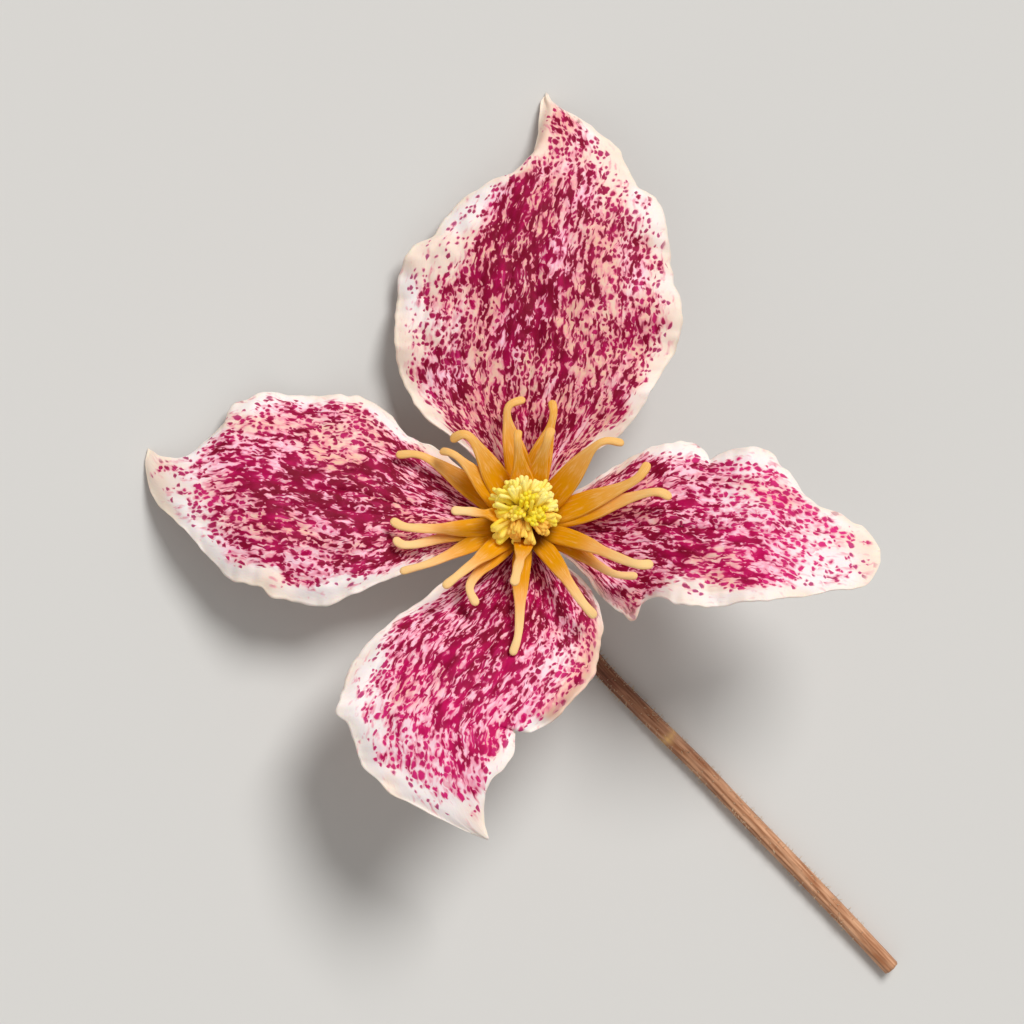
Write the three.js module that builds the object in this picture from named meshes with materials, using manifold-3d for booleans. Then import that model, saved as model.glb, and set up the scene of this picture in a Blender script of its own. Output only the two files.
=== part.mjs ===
// A clematis flower, picked with its stalk and laid down face up.
// Millimetres, +Z up. The flower is built round its own axis, with its heart at the origin, the
// axis along +Z and the upper tepal towards +Y. The whole flower then leans over until the tips of
// the upper and left tepals and the stalk touch the ground at Z = 0.

import * as THREE from 'three';
import { mergeVertices } from 'three/addons/utils/BufferGeometryUtils.js';
import Module from 'manifold-3d';

const wasm = await Module();
wasm.setup();

// How the flower lies: its heart above the ground, and its lean away from upright
const heart = new THREE.Vector3(-2.4, -0.6, 6.5);
const leanAngle = 21.6;
const leanTowards = 132;

// Tepals: a blade's thickness, its narrow tongue at the receptacle, its tip, and its mesh
const bladeThickness = 0.7;
const tongueStart = 2.0;
const tongueHalfWidth = 1.2;
const tongueLift = 0.2;
const tipHalfWidth = 0.35;
const bladeSteps = 30;
const bladeColumns = 12;

// The arch of a tepal's midrib, as shares of the tepal's length, and how far the midrib follows
// the middle between the two margins
const archRise = 0.45;
const archCrown = 0.01;
const archFall = 0.34;
const midribFollow = 0.75;

// The waves that run along the margins, with angles in radians: how far the two margins of a tepal
// are out of step, and how far each tepal is out of step with the one before
const waveLength = 8.5;
const waveHeight = 0.7;
const marginLag = 1.3;
const tepalLag = 2.1;

// Receptacle, the swollen top of the stalk: a rounded foot, the seat that the tepals grow from,
// the neck, and the post that carries the stamens and the pistil
const footRadius = 1.3;
const footDepth = 1.9;
const footFlare = 1.7;
const seatRadius = 2.6;
const seatHeight = -0.7;
const seatRim = 0.5;
const neckRadius = 1.6;
const neckHeight = 1.6;
const postRadius = 0.9;
const postHeight = 3.2;
const receptacleSegments = 20;

// Stamens: the ring that they spring from, and their flat filaments. A filament has climbed
// riseHeight of the way to its bend where it is riseOut of the way out.
const ringInside = 1.2;
const ringOutside = 2.4;
const ringBottom = 1.9;
const ringTop = 3.1;
const ringSegments = 24;
const riseOut = 0.5;
const riseHeight = 0.52;
const filamentWidth = 2.1;
const filamentTipWidth = 0.8;
const filamentThickness = 0.8;
const filamentTipThickness = 0.6;
const filamentSides = 6;
const filamentSteps = 8;

// Pistil: a ball-shaped core, and styles spread over it by the golden angle, with small draws of
// direction, reach and height that keep them from looking combed
const coreRadius = 2.1;
const coreHeight = 5.6;
const coreSegments = 16;
const coreRings = 10;
const goldenAngle = 137.5;
const styleCount = 36;
const styleCover = 0.86;
const styleRoot = 0.8;
const styleReach = 3.1;
const styleBend = 0.8;
const styleWidth = 0.8;
const styleTipWidth = 0.55;
const styleSides = 5;
const styleSteps = 3;
const directionDraw = 20;
const reachDraw = 0.2;
const heightDraw = 0.3;
const drawSeed = 7;

// Stalk: a round stem that starts inside the receptacle's foot
const stalkRadius = 0.83;
const stalkRootDepth = 0.9;
const stalkSides = 12;
const stalkSteps = 44;

// Each tepal: the direction of its midrib in degrees, then stations from base to tip. A station is
// [distance out, left margin, right margin, lift of the left margin, lift of the right margin].
// The margins are measured sideways from the midrib's line, and their lift is over the midrib.
const tepals = {
  tepal_top: {
    direction: 87,
    stations: [
      [4.5, 3.2, -3.1, 0.6, 0.6],
      [7, 6.3, -5.9, 0.6, 0.6],
      [10, 10.5, -9.6, 0.3, 0.3],
      [13, 12.3, -11.3, -0.6, -0.6],
      [17, 13.3, -13.1, -1.8, -1.8],
      [21, 13.4, -13.8, -2.2, -2.1],
      [25, 12.4, -12.7, -2.5, -2.2],
      [28, 9.7, -12.3, -1.8, -1.9],
      [31, 7.3, -11.3, -1.0, -1.5],
      [34, 2.3, -8.6, -0.5, -1.0],
      [37, 0.9, -6.6, -0.2, -0.5],
      [40, 0.7, -3.2, 0, -0.1],
    ],
    tip: [42.9, 0.2],
  },
  tepal_left: {
    direction: 173.5,
    stations: [
      [4.5, 3.2, -3.2, 0.6, 0.6],
      [7, 4.7, -4.8, 0.6, 0.6],
      [10, 6.2, -6.3, 0, -0.1],
      [13, 8.1, -8.0, -1.0, -1.1],
      [16, 9.9, -9.9, -2.0, -2.2],
      [19, 10.7, -9.9, -2.2, -2.5],
      [22, 10.8, -9.7, -2.4, -2.9],
      [25, 9.8, -9.3, -2.2, -2.6],
      [28, 8.6, -8.1, -1.8, -1.9],
      [31, 6.0, -3.5, -1.3, -1.3],
      [34, 3.3, -1.7, -0.6, -0.6],
    ],
    tip: [36.3, -1.6],
  },
  tepal_right: {
    direction: -8,
    stations: [
      [4.5, 3.9, -2.5, 0.6, 0.3],
      [7, 6.0, -5.1, 0.6, -0.1],
      [10, 7.9, -7.5, 0.3, -0.8],
      [13, 9.1, -6.3, -0.2, -0.4],
      [16, 8.8, -7.6, -1.2, 1.2],
      [19, 9.1, -7.3, -1.4, 1.4],
      [22, 9.2, -6.7, -1.5, 1.6],
      [25, 6.6, -5.9, -1.3, 1.2],
      [28, 4.2, -4.7, -1.1, 0.9],
      [31, 3.4, -3.4, -0.5, 0.4],
    ],
    tip: [33.5, 1.0],
  },
  tepal_low: {
    direction: 264,
    stations: [
      [4.5, 4.2, -4.2, 0.6, 0.6],
      [7, 7.7, -7.6, 0.3, 0.5],
      [10, 8.3, -9.9, -0.5, 0],
      [13, 8.1, -12.3, -1.3, -0.4],
      [16, 7.0, -14.5, -2.0, -0.8],
      [19, 4.4, -15.1, -2.1, -1.1],
      [22, 1.5, -14.5, -1.2, -1.2],
      [25, 0.5, -13.0, -0.2, -1.0],
      [28, -0.8, -9.9, -0.2, -0.6],
      [30, -0.5, -4.8, -0.1, -0.2],
    ],
    tip: [31.4, -0.6],
  },
};

// Each stamen: where its filament bends and where it ends, both as [direction, distance out, height]
const filaments = [
  [[129, 8.3, 8.5], [138, 9.5, 8.0]],
  [[150, 10.9, 5.5], [155, 13.5, 5.5]],
  [[143, 7.9, 7.5], [145, 9.8, 7.0]],
  [[189, 4.8, 7.8], [187, 7.0, 8.6]],
  [[189, 10.9, 6.0], [185, 12.7, 6.5]],
  [[196, 11.2, 5.0], [192, 12.7, 5.5]],
  [[209, 9.7, 5.0], [206, 13.1, 5.0]],
  [[228, 8.8, 7.5], [227, 11.2, 8.0]],
  [[234, 8.7, 5.5], [244, 10.4, 6.0]],
  [[264, 6.6, 9.0], [263, 8.8, 10.5]],
  [[267, 11.6, 5.5], [265, 14.1, 5.5]],
  [[300, 10.3, 6.5], [302, 12.4, 6.0]],
  [[324, 9.8, 5.0], [329, 12.3, 5.5]],
  [[329, 11.5, 8.5], [333, 13.4, 8.5]],
  [[7, 11.8, 7.0], [4, 13.8, 7.0]],
  [[14, 10.4, 7.0], [20, 12.4, 7.5]],
  [[40, 8.9, 8.5], [33, 11.1, 8.0]],
  [[71, 6.2, 8.5], [71, 7.8, 8.5]],
  [[97, 5.7, 8.5], [95, 7.2, 8.5]],
  [[100, 9.8, 6.5], [90, 11.0, 6.5]],
  [[74, 9.4, 6.0], [77, 11.3, 6.0]],
];

// The stalk's route over the ground, sideways from the heart: it leaves the receptacle, bends down
// and lies flat out to its cut end. The heights of the first points are over the ground.
const stalkBend = [[1.3, -1.6, 2.7], [2.6, -3.3, 1.35]];
const stalkRoute = [
  [4.3, -5.8], [6.6, -9.2], [9.6, -12.9], [14.7, -17.6], [19.9, -22.2],
  [25.1, -27.1], [30.4, -32.0], [35.3, -36.6], [40.1, -41.2],
];

const radians = THREE.MathUtils.degToRad;
const mergeDistance = 1e-3;

// The leaning flower: a turn about the level axis that lies across the lean
const leanAxis = new THREE.Vector3(-Math.sin(radians(leanTowards)), Math.cos(radians(leanTowards)), 0);
const flower = new THREE.Group();
flower.quaternion.setFromAxisAngle(leanAxis, radians(leanAngle));
flower.position.copy(heart);
flower.updateMatrix();
const groundNormal = new THREE.Vector3(0, 0, 1).applyQuaternion(flower.quaternion.clone().invert());

// Height over the ground of a point of the flower, and that point raised to a level if it is lower
function heightOverGround(point) {
  return point.dot(groundNormal) + heart.z;
}

function raisedTo(point, level) {
  const shortfall = Math.max(0, level - heightOverGround(point));
  return point.clone().addScaledVector(groundNormal, shortfall);
}

function polar(direction, out, height) {
  const angle = radians(direction);
  return new THREE.Vector3(out * Math.cos(angle), out * Math.sin(angle), height);
}

// A small seeded random generator, so that the model is the same each time
function seededRandom(seed) {
  let state = seed;
  return () => {
    state = (state * 1664525 + 1013904223) % 4294967296;
    return state / 4294967296;
  };
}

// A closed body from rings of points, each ring with the same count, with a flat cap at each end
function bodyFromRings(rings) {
  const count = rings[0].length;
  const triangles = [];
  for (let ring = 0; ring < rings.length - 1; ring++) {
    for (let side = 0; side < count; side++) {
      const next = (side + 1) % count;
      const [a, b] = [rings[ring][side], rings[ring][next]];
      const [c, d] = [rings[ring + 1][side], rings[ring + 1][next]];
      triangles.push(a, b, d, a, d, c);
    }
  }
  const first = rings[0];
  const last = rings[rings.length - 1];
  for (let side = 1; side < count - 1; side++) {
    triangles.push(first[0], first[side + 1], first[side]);
    triangles.push(last[0], last[side], last[side + 1]);
  }
  return facingOut(new THREE.BufferGeometry().setFromPoints(triangles));
}

// Turns a closed body's faces outwards if they point in
function facingOut(geometry) {
  const position = geometry.attributes.position;
  let volume = 0;
  const [a, b, c] = [new THREE.Vector3(), new THREE.Vector3(), new THREE.Vector3()];
  for (let i = 0; i < position.count; i += 3) {
    a.fromBufferAttribute(position, i);
    b.fromBufferAttribute(position, i + 1);
    c.fromBufferAttribute(position, i + 2);
    volume += a.dot(b.cross(c));
  }
  if (volume < 0) {
    const turned = [];
    for (let i = 0; i < position.count; i += 3) {
      for (const corner of [i, i + 2, i + 1]) {
        turned.push(new THREE.Vector3().fromBufferAttribute(position, corner));
      }
    }
    geometry.setFromPoints(turned);
  }
  return geometry;
}

function toSolid(geometry) {
  const bare = geometry.clone();
  bare.deleteAttribute('normal');
  bare.deleteAttribute('uv');
  const merged = mergeVertices(bare, mergeDistance);
  return new wasm.Manifold(new wasm.Mesh({
    numProp: 3,
    vertProperties: new Float32Array(merged.attributes.position.array),
    triVerts: new Uint32Array(merged.index.array),
  }));
}

// Joins overlapping bodies into one
function fused(geometries) {
  let solid = toSolid(geometries[0]);
  for (const geometry of geometries.slice(1)) {
    solid = solid.add(toSolid(geometry));
  }
  const mesh = solid.getMesh();
  const geometry = new THREE.BufferGeometry();
  geometry.setAttribute('position', new THREE.BufferAttribute(new Float32Array(mesh.vertProperties), 3));
  geometry.setIndex(new THREE.BufferAttribute(new Uint32Array(mesh.triVerts), 1));
  return geometry;
}

function namedMesh(name, geometry, color, roughness) {
  geometry.computeVertexNormals();
  const material = new THREE.MeshStandardMaterial({ color, roughness, metalness: 0 });
  const mesh = new THREE.Mesh(geometry, material);
  mesh.name = name;
  return mesh;
}

// Height of a midrib: it climbs from the receptacle, arches over and comes down to the tip
function midribHeight(share, length) {
  return length * (archRise * share + archCrown * share ** 2 - archFall * share ** 3);
}

// The three lines that span a tepal: its left margin, midrib and right margin
function tepalLines({ stations, tip }) {
  const [length, tipSide] = tip;
  const all = [
    [tongueStart, tongueHalfWidth, -tongueHalfWidth, tongueLift, tongueLift],
    ...stations,
    [length, tipSide + tipHalfWidth, tipSide - tipHalfWidth, 0, 0],
  ];
  const lines = { left: [], middle: [], right: [] };
  for (const [out, left, right, leftLift, rightLift] of all) {
    const height = midribHeight((out - tongueStart) / (length - tongueStart), length);
    const share = out === length ? 1 : midribFollow;
    lines.left.push(new THREE.Vector3(out, left, height + leftLift));
    lines.middle.push(new THREE.Vector3(out, share * (left + right) / 2, height));
    lines.right.push(new THREE.Vector3(out, right, height + rightLift));
  }
  const curve = (points) => new THREE.CatmullRomCurve3(points, false, 'catmullrom', 0.5);
  return { left: curve(lines.left), middle: curve(lines.middle), right: curve(lines.right) };
}

// A point of a tepal's middle surface: along from base to tip, across from -1 on the right
// margin to 1 on the left one, with the margins waved
function tepalPoint(lines, along, across, phase) {
  const left = lines.left.getPoint(along);
  const middle = lines.middle.getPoint(along);
  const right = lines.right.getPoint(along);
  const point = middle.multiplyScalar(1 - across ** 2)
    .addScaledVector(left, (across ** 2 + across) / 2)
    .addScaledVector(right, (across ** 2 - across) / 2);
  const fade = Math.sqrt(Math.sin(Math.PI * along));
  const turn = point.x * 2 * Math.PI / waveLength + phase + marginLag * Math.sign(across);
  point.z += waveHeight * fade * Math.abs(across) ** 3 * Math.sin(turn);
  return point;
}

// A tepal: two faces half a thickness to each side of its middle surface, joined round the rim
function tepalGeometry(tepal, phase) {
  const lines = tepalLines(tepal);
  const direction = radians(tepal.direction);
  const turned = (point) => point.applyAxisAngle(new THREE.Vector3(0, 0, 1), direction);
  const surface = (along, across) => turned(tepalPoint(lines, along, across, phase));
  const near = 0.004; // a short way along or across, to take the surface's slope over
  const upper = [];
  const lower = [];
  for (let step = 0; step <= bladeSteps; step++) {
    const along = step / bladeSteps;
    upper.push([]);
    lower.push([]);
    for (let column = 0; column <= bladeColumns; column++) {
      const across = 1 - 2 * column / bladeColumns;
      const middle = surface(along, across);
      const ahead = surface(Math.min(1, along + near), across);
      const behind = surface(Math.max(0, along - near), across);
      const leftward = surface(along, Math.min(1, across + near));
      const rightward = surface(along, Math.max(-1, across - near));
      const normal = ahead.sub(behind).cross(leftward.sub(rightward)).normalize();
      const half = normal.multiplyScalar(bladeThickness / 2);
      upper[step].push(raisedTo(middle.clone().add(half), bladeThickness));
      lower[step].push(raisedTo(middle.clone().sub(half), 0));
    }
  }
  // Each ring runs over the upper face and back under the lower one
  const rings = upper.map((row, step) => [...row, ...lower[step].reverse()]);
  return cappedBlade(rings, bladeColumns + 1);
}

// A blade from rings whose first half is the upper face and whose second half is the lower one,
// split into triangles alike on both faces, with the two end rings closed by strips
function cappedBlade(rings, half) {
  const count = 2 * half;
  const triangles = [];
  for (let ring = 0; ring < rings.length - 1; ring++) {
    for (let side = 0; side < count; side++) {
      const next = (side + 1) % count;
      const [a, b] = [rings[ring][side], rings[ring][next]];
      const [c, d] = [rings[ring + 1][side], rings[ring + 1][next]];
      if (side < half) {
        triangles.push(a, b, d, a, d, c);
      } else {
        triangles.push(a, b, c, b, d, c);
      }
    }
  }
  const strip = (ring, flip) => {
    for (let side = 0; side < half - 1; side++) {
      const [a, b] = [ring[side], ring[side + 1]];
      const [c, d] = [ring[count - 1 - side], ring[count - 2 - side]];
      const faces = flip ? [a, b, c, b, d, c] : [a, c, b, b, c, d];
      triangles.push(...faces);
    }
  };
  strip(rings[0], false);
  strip(rings[rings.length - 1], true);
  return facingOut(new THREE.BufferGeometry().setFromPoints(triangles));
}

// A tapering strap or finger along a curve, with an oval section whose wide side lies level
function strap(curve, steps, sides, width, tipWidth, thickness, tipThickness) {
  const rings = [];
  for (let step = 0; step <= steps; step++) {
    const along = step / steps;
    const centre = curve.getPointAt(along);
    const tangent = curve.getTangentAt(along);
    const side = new THREE.Vector3(-tangent.y, tangent.x, 0).normalize();
    const face = new THREE.Vector3().crossVectors(tangent, side).normalize();
    const halfWidth = THREE.MathUtils.lerp(width, tipWidth, along) / 2;
    const halfThickness = THREE.MathUtils.lerp(thickness, tipThickness, along) / 2;
    const ring = [];
    for (let corner = 0; corner < sides; corner++) {
      const angle = 2 * Math.PI * corner / sides;
      ring.push(centre.clone()
        .addScaledVector(side, halfWidth * Math.cos(angle))
        .addScaledVector(face, halfThickness * Math.sin(angle)));
    }
    rings.push(ring);
  }
  return bodyFromRings(rings);
}

// Stamens: flat filaments that rise from a ring round the receptacle's post
function stamenGeometry() {
  const ring = new THREE.LatheGeometry([
    new THREE.Vector2(ringInside, ringBottom),
    new THREE.Vector2(ringOutside, ringBottom),
    new THREE.Vector2(ringOutside, ringTop),
    new THREE.Vector2(ringInside, ringTop),
    new THREE.Vector2(ringInside, ringBottom),
  ], ringSegments).rotateX(Math.PI / 2);
  const straps = filaments.map(([bend, tip]) => {
    const [direction, out, height] = bend;
    const rootOut = (ringInside + ringOutside) / 2;
    const rootHeight = (ringBottom + ringTop) / 2;
    const root = polar(direction, rootOut, rootHeight);
    const rise = polar(direction, out * riseOut, rootHeight + (height - rootHeight) * riseHeight);
    const curve = new THREE.CatmullRomCurve3([root, rise, polar(...bend), polar(...tip)]);
    return strap(curve, filamentSteps, filamentSides,
      filamentWidth, filamentTipWidth, filamentThickness, filamentTipThickness);
  });
  return fused([facingOut(ring.toNonIndexed()), ...straps]);
}

// Pistil: a small core, with blunt styles that stand out of it like fingers
function pistilGeometry() {
  const random = seededRandom(drawSeed);
  const core = new THREE.SphereGeometry(coreRadius, coreSegments, coreRings);
  core.translate(0, 0, coreHeight);
  const bodies = [facingOut(core.toNonIndexed())];
  for (let i = 0; i < styleCount; i++) {
    const tilt = Math.acos(1 - styleCover * (i + 0.5) / styleCount);
    const direction = i * goldenAngle + directionDraw * random();
    const reach = styleReach * (1 + reachDraw * (random() - 0.5));
    const outward = polar(direction, Math.sin(tilt), Math.cos(tilt));
    const root = outward.clone().multiplyScalar(styleRoot);
    const bend = outward.clone().multiplyScalar(styleBend * reach);
    const tip = outward.clone().multiplyScalar(reach);
    tip.z += heightDraw * random();
    for (const point of [root, bend, tip]) {
      point.z += coreHeight;
    }
    const curve = new THREE.CatmullRomCurve3([root, bend, tip]);
    bodies.push(strap(curve, styleSteps, styleSides,
      styleWidth, styleTipWidth, styleWidth, styleTipWidth));
  }
  return fused(bodies);
}

// Stalk: the receptacle, leaning with the flower, and the stem that bends down to the ground
function stalkGeometry() {
  const receptacle = new THREE.LatheGeometry([
    new THREE.Vector2(0, seatHeight - footDepth),
    new THREE.Vector2(footRadius, seatHeight - footFlare),
    new THREE.Vector2(seatRadius, seatHeight - seatRim),
    new THREE.Vector2(seatRadius, seatHeight),
    new THREE.Vector2(neckRadius, seatHeight),
    new THREE.Vector2(neckRadius, neckHeight),
    new THREE.Vector2(postRadius, neckHeight),
    new THREE.Vector2(postRadius, postHeight),
    new THREE.Vector2(0, postHeight),
  ], receptacleSegments).rotateX(Math.PI / 2).applyMatrix4(flower.matrix);
  const level = stalkRadius * Math.cos(Math.PI / stalkSides);
  const route = [
    new THREE.Vector3(0, 0, seatHeight - stalkRootDepth).applyMatrix4(flower.matrix),
    ...stalkBend.map(([x, y, z]) => new THREE.Vector3(heart.x + x, heart.y + y, z)),
    ...stalkRoute.map(([x, y]) => new THREE.Vector3(heart.x + x, heart.y + y, level)),
  ];
  const curve = new THREE.CatmullRomCurve3(route);
  const rings = [];
  for (let step = 0; step <= stalkSteps; step++) {
    const centre = curve.getPointAt(step / stalkSteps);
    centre.z = Math.max(centre.z, level);
    const tangent = curve.getTangentAt(step / stalkSteps);
    const side = new THREE.Vector3(-tangent.y, tangent.x, 0).normalize();
    const along = centre.z > level ? tangent : new THREE.Vector3(side.y, -side.x, 0);
    const up = new THREE.Vector3().crossVectors(along, side).normalize();
    const ring = [];
    for (let corner = 0; corner < stalkSides; corner++) {
      const angle = 2 * Math.PI * (corner + 0.5) / stalkSides;
      ring.push(centre.clone()
        .addScaledVector(side, stalkRadius * Math.cos(angle))
        .addScaledVector(up, stalkRadius * Math.sin(angle)));
    }
    rings.push(ring);
  }
  return fused([facingOut(receptacle.toNonIndexed()), bodyFromRings(rings)]);
}

// Each piece's colour and roughness: freckled cream seen from afar, gold, lemon yellow and bark
const frecklePink = ['#dba3ad', 0.55];
const gold = ['#e0a03c', 0.5];
const lemon = ['#f6e86a', 0.5];
const bark = ['#6b4a32', 0.7];

Object.entries(tepals).forEach(([name, tepal], index) => {
  flower.add(namedMesh(name, tepalGeometry(tepal, tepalLag * index), ...frecklePink));
});
flower.add(namedMesh('stamens', stamenGeometry(), ...gold));
flower.add(namedMesh('pistil', pistilGeometry(), ...lemon));

const part = new THREE.Group();
part.add(flower);
part.add(namedMesh('stalk', stalkGeometry(), ...bark));

export default part;
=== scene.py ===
import math
import random
from bisect import bisect_right

import bmesh
import bpy
from mathutils import Matrix, Vector, noise


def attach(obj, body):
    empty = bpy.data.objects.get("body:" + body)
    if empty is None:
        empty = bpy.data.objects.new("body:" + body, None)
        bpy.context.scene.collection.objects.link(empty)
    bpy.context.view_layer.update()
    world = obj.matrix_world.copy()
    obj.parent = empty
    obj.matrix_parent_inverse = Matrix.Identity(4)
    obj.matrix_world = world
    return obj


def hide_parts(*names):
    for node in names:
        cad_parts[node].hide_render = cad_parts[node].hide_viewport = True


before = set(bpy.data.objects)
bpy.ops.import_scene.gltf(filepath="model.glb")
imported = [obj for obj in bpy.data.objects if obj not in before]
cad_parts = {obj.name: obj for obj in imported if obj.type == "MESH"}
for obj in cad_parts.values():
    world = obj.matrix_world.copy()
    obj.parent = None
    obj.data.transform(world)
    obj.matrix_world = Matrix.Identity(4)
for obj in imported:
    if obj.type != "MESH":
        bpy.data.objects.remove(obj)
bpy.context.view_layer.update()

# How the picked flower lies: it leans over until the tips of its upper and left tepals and its
# stalk touch the ground. Every piece is shaped round the flower's own axis, in millimetres, with
# the heart at the origin and the upper tepal towards +Y. BLOOM then lays it down, in metres.
MM = 0.001
HEART = Vector((-2.4, -0.6, 6.5))
LEAN_ANGLE = math.radians(21.6)
LEAN_TOWARDS = math.radians(132)
LEAN_AXIS = Vector((-math.sin(LEAN_TOWARDS), math.cos(LEAN_TOWARDS), 0))
LEAN = Matrix.Rotation(LEAN_ANGLE, 4, LEAN_AXIS)
BLOOM = Matrix.Scale(MM, 4) @ Matrix.Translation(HEART) @ LEAN


# Tepals: the four petal-like sepals. Each is one thin, soft blade that grew from the receptacle
# by a narrow tongue. It arches over, its margins are waved and rolled, its veins lie in fine
# furrows, and its upper face is cream, thickly freckled with magenta along the veins.
TONGUE_START = 2.0
TONGUE_HALF_WIDTH = 1.2
BLADE_ROWS = 230
BLADE_COLUMNS = 108
BLADE_THICKNESS = 0.42
FLOW_ROWS = 17
MIDRIB_FOLLOW = 0.75
WAVE_LENGTH = 8.5
WAVE_HEIGHT = 0.7
FLUTTER_HEIGHT = 0.35
PUCKER_HEIGHT = 0.2
RIM_WANDER = 0.22
ROLL_REACH = 1.6
FURROW_COUNT = 5.0
FURROW_DEPTH = 0.15
MIDRIB_DEPTH = 0.22
MIDRIB_WIDTH = 0.045
PLEAT_HEIGHT = 0.3
DIMPLE_HEIGHT = 0.12
TEPAL_HALF_WIDTH = 13.0

# How many mm one unit of the blades' pattern map is
PATTERN_UNIT = 10.0


def ink(red, green, blue):
    """A colour given in the usual 0 to 255, as the shader wants it."""
    return tuple((value / 255) ** 2.2 for value in (red, green, blue)) + (1.0,)


CREAM = ink(254, 241, 238)
BEIGE = ink(252, 226, 210)
DEEP_PINK = ink(255, 200, 216)
DEEP_BEIGE = ink(240, 188, 164)
PEACH_ROLL_SHADE = ink(247, 194, 168)
PINK_HALO = ink(236, 118, 150)
MAROON = ink(156, 28, 70)
MAGENTA = ink(222, 46, 122)
DARK_MAROON = ink(128, 2, 44)
DARK_MAGENTA = ink(196, 6, 90)
MAUVE = ink(178, 84, 124)
CREAM_RIM = ink(255, 234, 214)
BACK_CREAM = ink(238, 218, 206)
BACK_VEIN = ink(226, 190, 188)
BACK_FLUSH = ink(196, 110, 145)


def node(tree, kind, links=None, **settings):
    """Adds a shader node: settings are its own fields, and links fill its sockets."""
    made = tree.nodes.new(kind)
    for field, value in settings.items():
        setattr(made, field, value)
    for name, source in (links or {}).items():
        socket = made.inputs[name]
        if isinstance(source, bpy.types.NodeSocket):
            tree.links.new(source, socket)
        else:
            socket.default_value = source
    return made


def new_material(name):
    """A material with a bare principled shader, and its tree and shader node."""
    material = bpy.data.materials.new(name)
    material.use_nodes = True
    tree = material.node_tree
    return material, tree, tree.nodes["Principled BSDF"]


def maths(tree, operation, first, second):
    """One sum on two values or sockets."""
    return node(tree, "ShaderNodeMath", {0: first, 1: second}, operation=operation).outputs[0]


def blend_colour(tree, amount, first, second):
    """Mixes two colours by an amount from 0 to 1."""
    mix = node(tree, "ShaderNodeMix", {"Factor": amount, 6: first, 7: second}, data_type="RGBA")
    return mix.outputs[2]


def soft_step(tree, value, low, high):
    """0 below low and 1 above high, with a smooth change between."""
    sockets = {"Value": value, "From Min": low, "From Max": high}
    return node(tree, "ShaderNodeMapRange", sockets, interpolation_type="SMOOTHSTEP").outputs[0]


def read_uv(tree, name):
    return node(tree, "ShaderNodeUVMap", uv_map=name).outputs[0]


def read_attribute(tree, name):
    return node(tree, "ShaderNodeAttribute", attribute_name=name).outputs["Fac"]


def stretched_place(tree, vector, scale, start=(0, 0)):
    """A place on a surface, stretched by a scale along and across, from a start of its own."""
    sockets = {"Vector": vector, "Location": (*start, 0), "Scale": (*scale, 1)}
    return node(tree, "ShaderNodeMapping", sockets).outputs[0]


def stretched_noise(tree, vector, scale, detail, start=(0, 0), distortion=0.0):
    """Noise on a surface, stretched in the same way."""
    place = stretched_place(tree, vector, scale, start)
    sockets = {"Vector": place, "Scale": 1.0, "Detail": detail, "Distortion": distortion}
    return node(tree, "ShaderNodeTexNoise", sockets).outputs[0]


def streaks(tree, vector, along, across, seed, detail=1.0, distortion=0.0):
    """Noise drawn out along a blade: its grain measures so many mm along and across."""
    scale = (PATTERN_UNIT / along, PATTERN_UNIT / across)
    return stretched_noise(tree, vector, scale, detail, (seed, 2.7 * seed), distortion)


def dots(tree, vector, along, across, crowd, seed):
    """Irregular dots in cells of so many mm, where crowd is the share of the cells that have one.

    It is over 0 inside a dot.
    """
    scale = (PATTERN_UNIT / along, PATTERN_UNIT / across)
    place = stretched_place(tree, vector, scale, (seed, 1.3 * seed))
    cells = node(tree, "ShaderNodeTexVoronoi", {"Vector": place, "Scale": 1.0, "Randomness": 0.8},
                 voronoi_dimensions="2D")
    draw = node(tree, "ShaderNodeSeparateColor", {0: cells.outputs["Color"]})
    ragged = node(tree, "ShaderNodeTexNoise", {"Vector": place, "Scale": 2.2, "Detail": 1.0})
    kept = soft_step(tree, maths(tree, "SUBTRACT", crowd, draw.outputs[0]), -0.05, 0.05)
    radius = maths(tree, "SUBTRACT", maths(tree, "MULTIPLY", kept, 0.7), 0.81)
    radius = maths(tree, "ADD", radius, maths(tree, "MULTIPLY", draw.outputs[1], 0.3))
    radius = maths(tree, "ADD", radius, maths(tree, "MULTIPLY", ragged.outputs[0], 0.46))
    return maths(tree, "SUBTRACT", radius, cells.outputs["Distance"])


def finish_surface(tree, shader, colour, relief, strength, depth, roughness, specular):
    """Gives a shader its colour, its fine relief, and how dull it is."""
    tree.links.new(colour, shader.inputs["Base Color"])
    bump = node(tree, "ShaderNodeBump", {"Height": relief, "Strength": strength, "Distance": depth})
    tree.links.new(bump.outputs[0], shader.inputs["Normal"])
    shader.inputs["Roughness"].default_value = roughness
    shader.inputs["Specular IOR Level"].default_value = specular


def let_light_in(shader, weight, depth, reds=(1.0, 0.2, 0.1)):
    """Light goes a little way into soft flesh, and farthest in red."""
    shader.inputs["Subsurface Weight"].default_value = weight
    shader.inputs["Subsurface Scale"].default_value = depth
    shader.inputs["Subsurface Radius"].default_value = reds


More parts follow.
